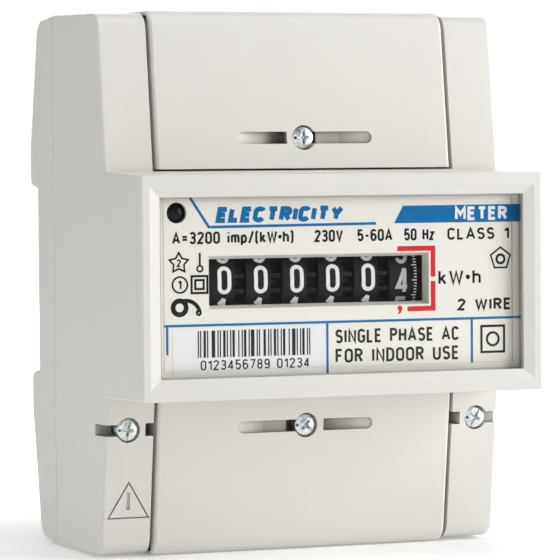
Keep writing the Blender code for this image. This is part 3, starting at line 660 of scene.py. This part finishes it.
def band_text(bm):
    """The white word on the blue band."""
    def raised(u, v, lift):
        return dial_point(u, v, lift + INK_PROUD)

    add_text(bm, "METER", across=(25.9, 37.9), up=(12.75, 15.65), stroke=0.66, point_on=raised)


def red_print(bm):
    """The bracket round the tenths window, in two strokes with a gap, and the decimal comma under it."""
    add_stroke(bm, [(12.85, 7.1), (20.88, 7.1), (20.88, 1.2)], BRACKET, dial_point)
    add_stroke(bm, [(20.88, 0.3), (20.88, -5.35), (15.05, -5.35)], BRACKET, dial_point)
    comma = bow(13.35, -5.2, 0.55, 0.55, -20, 200, 12) + [(13.2, -5.6), (12.9, -6.5), (13.6, -6.1)]
    add_polygon(bm, comma, dial_point)


def rating_row(bm):
    words = (("A=3200 imp/(kW.h)", -36.5, -10.2), ("230V", -5.6, 0.7), ("5-60A", 3.9, 11.75))
    words += (("50 Hz", 14.4, 21.2), ("CLASS 1", 24.2, 38.3))
    for word, first, last in words:
        add_text(bm, word, (first, last), (8.75, 11.25), MEDIUM, dial_point)


def left_symbols(bm):
    """A star with a digit, a hanging ring, a ring with a digit, a double square and a ring with a tail."""
    add_stroke(bm, star(-35.1, 5.0, 2.1, 1.15), THIN, dial_point)
    add_text(bm, "2", (-35.55, -34.65), (4.2, 5.75), 0.3, dial_point)
    add_stroke(bm, circle(-30.6, 3.8, 0.6, 20), THIN, dial_point)
    add_stroke(bm, [(-30.6, 4.4), (-30.6, 7.0)], 0.42, dial_point)
    add_stroke(bm, circle(-34.9, 0.6, 1.6), THIN, dial_point)
    add_text(bm, "1", (-35.3, -34.55), (-0.4, 1.6), 0.38, dial_point)
    for half in (1.7, 0.9):
        square = rectangle(-30.7 - half, -30.7 + half, 0.6 - half, 0.6 + half)
        add_stroke(bm, loop(square), MEDIUM, dial_point)
    add_stroke(bm, circle(-35.0, -4.0, 1.4, 24), 1.0, dial_point)
    add_stroke(bm, bow(-33.6, -5.6, 3.0, 3.0, 100, 12, 8), 0.8, dial_point)
    add_stroke(bm, circle(-30.9, -5.1, 0.42, 16), MEDIUM, dial_point, 1)


def right_symbols(bm):
    """A pentagon with a ring, and below it a square with a ring."""
    add_stroke(bm, regular(36.3, 4.7, 2.35, 5), THIN, dial_point)
    add_stroke(bm, circle(36.3, 4.6, 0.9, 24), STRONG, dial_point)
    add_stroke(bm, loop(rectangle(31.85, 37.05, -14.75, -9.35)), STRONG, dial_point)
    add_stroke(bm, circle(34.45, -12.05, 1.35, 24), STRONG, dial_point)


def black_print(bm):
    rating_row(bm)
    left_symbols(bm)
    right_symbols(bm)
    add_text(bm, "kW.h", (22.1, 31.75), (-0.55, 2.55), STRONG, dial_point)
    add_text(bm, "2 WIRE", (26.4, 38.7), (-6.0, -3.5), STRONG, dial_point)
    add_text(bm, "SINGLE PHASE AC", (-1.1, 26.7), (-12.1, -9.2), STRONG, dial_point)
    add_text(bm, "FOR INDOOR USE", (-1.1, 26.7), (-16.1, -13.2), STRONG, dial_point)


# The paper label and its bars. The bars and gaps are counted in units.
LABEL_THICK = 0.07
LABEL_CORNER = 0.45
LABEL_U = (-36.6, -3.3)
LABEL_V = (-17.75, -8.35)
BARS = (1, 1, 2, 1, 3, 1, 1, 2, 1, 1, 2)
GAPS = (1, 2, 1, 3, 2, 1, 2)
BAR_UNIT = 0.25
BARS_U = (-31.2, -6.3)
BARS_V = (-14.2, -8.75)


def label_sheet(bm):
    """A sheet of paper with rounded corners."""
    left, right = LABEL_U[0] + LABEL_CORNER, LABEL_U[1] - LABEL_CORNER
    low, high = LABEL_V[0] + LABEL_CORNER, LABEL_V[1] - LABEL_CORNER
    points = []
    for i, (cu, cv) in enumerate(((right, high), (left, high), (left, low), (right, low))):
        points += bow(cu, cv, LABEL_CORNER, LABEL_CORNER, 90 * i, 90 * i + 90, 5)
    add_polygon(bm, points, dial_point, -INK_SUNK, LABEL_THICK)


def on_label(u, v, lift):
    """A point on the paper label's front."""
    return dial_point(u, v, LABEL_THICK + lift)


def bar_code(bm):
    """Bars and gaps that repeat by a rule and say nothing."""
    x, end = BARS_U
    index = 0
    while x < end:
        bar = BAR_UNIT * BARS[index % len(BARS)]
        if x + bar > end:
            break
        add_polygon(bm, rectangle(x, x + bar, *BARS_V), on_label)
        x += bar + BAR_UNIT * GAPS[index % len(GAPS)]
        index += 1
    add_text(bm, "0123456789 01234", (-30.6, -6.9), (-16.75, -14.75), 0.28, on_label)


# Drum printing

DRUM_BOX = {name: node_box("drum_" + name) for name in DRUM_NAMES}
DRUM_R = (DRUM_BOX["tenths"][1][1] - DRUM_BOX["tenths"][1][0]) / 2
DRUM_D = sum(DRUM_BOX["tenths"][1]) / 2
DRUM_H = sum(DRUM_BOX["tenths"][2]) / 2
TYRE_WIDTH = 6.6
DIGITS = 10
DIGIT_WIDE = 2.95
DIGIT_TALL = 5.75
DIGIT_STROKE = 0.82
DIGIT_PITCH = 2 * math.pi * DRUM_R / DIGITS

# A digit's strokes follow the drum, so no straight piece of them is longer than the step.
DIGIT_STEP = 0.45

# How far a digit's middle is to the right of the tyre's.
DIGIT_SHIFT = {"tenths": -0.35}
USUAL_SHIFT = -0.1

# The 1 is narrower than the other digits and stands to their left.
ONE_WIDE = 0.62
ONE_SHIFT = 0.45

# The digit that each drum shows, where it isn't 0, and how high above the drum's front it stands.
READING = {"tenths": 4}
RISE = {"tenths": -0.35}
USUAL_RISE = 0.42

# The fine scale: lines that end at the drum's right, ten to a digit, each fifth one longer.
MARKS = 10
SCALE_RIGHT = 2.9
SCALE_WIDTH = 0.26
LONG_MARK = 1.05
SHORT_MARK = 0.62


def drum_surface(centre):
    """Wraps (across, up) round the drum, with up = 0 at its front."""
    def point(u, v, lift):
        a = v / DRUM_R
        radius = DRUM_R + lift
        return at(centre + u, DRUM_D + radius * math.cos(a), DRUM_H + radius * math.sin(a))
    return point


def drum_middle(name):
    """The x of the middle of a drum's printed tyre."""
    return DRUM_BOX[name][0][0] + TYRE_WIDTH / 2


def drum_digits(name):
    """A drum's ten digits, each one a tenth of a turn from the next."""
    point = drum_surface(drum_middle(name))

    def fill(bm):
        for digit in range(DIGITS):
            turn = (READING.get(name, 0) - digit + DIGITS // 2) % DIGITS - DIGITS // 2
            level = RISE.get(name, USUAL_RISE) + turn * DIGIT_PITCH
            width = DIGIT_WIDE * (ONE_WIDE if digit == 1 else 1.0)
            middle = DIGIT_SHIFT.get(name, USUAL_SHIFT) - (ONE_SHIFT if digit == 1 else 0.0)
            across = (middle - width / 2, middle + width / 2)
            up = (level - DIGIT_TALL / 2, level + DIGIT_TALL / 2)
            add_text(bm, str(digit), across, up, DIGIT_STROKE, point, DIGIT_STEP)

    ink = INK["grey"] if name == "tenths" else INK["white"]
    return printed("digits_" + name, ink, "drum_" + name, fill)


def tenths_scale(bm):
    """The fine scale, all round the last drum."""
    point = drum_surface(drum_middle("tenths"))
    for mark in range(DIGITS * MARKS):
        v = RISE["tenths"] + DIGIT_PITCH * mark / MARKS
        reach = LONG_MARK if mark % 5 == 0 else SHORT_MARK
        add_stroke(bm, [(SCALE_RIGHT - reach, v), (SCALE_RIGHT, v)], SCALE_WIDTH, point)


# Stage

# Strengths that light the meter, and those that the camera sees. The floor that the camera sees grows
# brighter away from the meter, between two distances from its middle in metres.
WORLD_LIGHT = 0.06
WORLD_SEEN = 1.1
FLOOR_LIGHT = 0.13
FLOOR_SEEN = (0.22, 1.15)
CLEAR_OF_METER = (0.07, 0.22)
FLOOR_SIZE = 8.0


def seen_by_camera(tree, otherwise, seen):
    """One value for what the camera sees, and another for the light that it gives."""
    path = tree.nodes.new("ShaderNodeLightPath")
    node = tree.nodes.new("ShaderNodeMix")
    tree.links.new(path.outputs["Is Camera Ray"], node.inputs["Factor"])
    node.inputs["A"].default_value = otherwise
    if isinstance(seen, float):
        node.inputs["B"].default_value = seen
    else:
        tree.links.new(seen, node.inputs["B"])
    return node.outputs["Result"]


def stage():
    bpy.ops.mesh.primitive_plane_add(size=FLOOR_SIZE, location=(0, 0, 0))
    floor = bpy.context.object
    floor.name = "studio_floor"
    mat = bpy.data.materials.new("pale_floor")
    mat.use_nodes = True
    tree = mat.node_tree
    shader = tree.nodes["Principled BSDF"]
    shader.inputs["Base Color"].default_value = (0.93, 0.93, 0.93, 1)
    shader.inputs["Roughness"].default_value = 0.9
    shader.inputs["Specular IOR Level"].default_value = 0.1
    shader.inputs["Emission Color"].default_value = (1, 1, 1, 1)
    away = tree.nodes.new("ShaderNodeVectorMath")
    away.operation = "LENGTH"
    tree.links.new(coordinates(tree), away.inputs[0])
    seen = spread(tree, away.outputs["Value"], *FLOOR_SEEN, *CLEAR_OF_METER)
    tree.links.new(seen_by_camera(tree, FLOOR_LIGHT, seen), shader.inputs["Emission Strength"])
    floor.data.materials.append(mat)


def area_light(name, azimuth, elevation, distance, size, power):
    """A square light aimed at the meter. Azimuth 0 is straight in front of it, and 90 on its right."""
    data = bpy.data.lights.new(name, "AREA")
    data.size = size
    data.energy = power
    obj = bpy.data.objects.new(name, data)
    bpy.context.scene.collection.objects.link(obj)
    a, e = math.radians(azimuth), math.radians(elevation)
    way = Vector((math.sin(a) * math.cos(e), -math.cos(a) * math.cos(e), math.sin(e)))
    obj.location = LIGHTS_AIM + way * distance
    obj.rotation_mode = "QUATERNION"
    obj.rotation_quaternion = way.to_track_quat("Z", "Y")


# Each light: its azimuth, elevation, distance in metres, size in metres and power in watts.
LIGHTS = {
    "key": (60.5, 7, 0.95, 0.95, 13.2),
    "left": (-98, 8, 1.0, 0.7, 4.1),
    "overhead": (20, 80, 1.0, 0.8, 5.0),
    "front": (-15, 4, 1.0, 0.5, 1.3),
    "rear": (165, 25, 1.2, 0.8, 5.0),
}
LIGHTS_AIM = at(0, 36, 0)


def studio_light():
    world = bpy.data.worlds.new("studio")
    bpy.context.scene.world = world
    world.use_nodes = True
    tree = world.node_tree
    background = tree.nodes["Background"]
    background.inputs["Color"].default_value = (1, 1, 1, 1)
    tree.links.new(seen_by_camera(tree, WORLD_LIGHT, WORLD_SEEN), background.inputs["Strength"])
    for name, (azimuth, elevation, distance, size, power) in LIGHTS.items():
        area_light(name, azimuth, elevation, distance, size, power)
    bpy.context.scene.view_settings.view_transform = "Standard"


def camera():
    """A long lens, to the left of the meter and a little above it."""
    data = bpy.data.cameras.new("camera")
    data.lens = CAMERA_LENS
    data.sensor_width = CAMERA_SENSOR
    data.clip_start = CAMERA_CLIP * MM
    obj = bpy.data.objects.new("camera", data)
    bpy.context.scene.collection.objects.link(obj)
    yaw, down, roll = (math.radians(v) for v in (CAMERA_YAW, CAMERA_DOWN, CAMERA_ROLL))
    tilt = Matrix.Rotation(math.pi / 2 - down, 4, "X")
    turn = Matrix.Rotation(-yaw, 4, "Z") @ tilt @ Matrix.Rotation(roll, 4, "Z")
    forward = turn.to_3x3() @ Vector((0, 0, -1))
    aim = at(CAMERA_AIM_X, MIDDLE_D, CAMERA_AIM_H)
    obj.matrix_world = Matrix.Translation(aim - forward * CAMERA_DISTANCE * MM) @ turn
    bpy.context.scene.camera = obj


# The scene

camera()
studio_light()
stage()
finished = {node: refined(node) for node in sorted(frame["nodes"])}
squeeze_spring(finished["latch_spring"])
printed("dial_print_blue", INK["blue"], "meter", blue_print)
printed("dial_print_white", INK["white"], "meter", band_text)
printed("dial_print_red", INK["red"], "meter", red_print)
printed("dial_print_black", INK["black"], "meter", black_print)
printed("label_sheet", PAPER, "meter", label_sheet)
printed("label_print", INK["black"], "meter", bar_code)
for name in DRUM_NAMES:
    drum_digits(name)
printed("scale_tenths", INK["white"], "drum_tenths", tenths_scale)
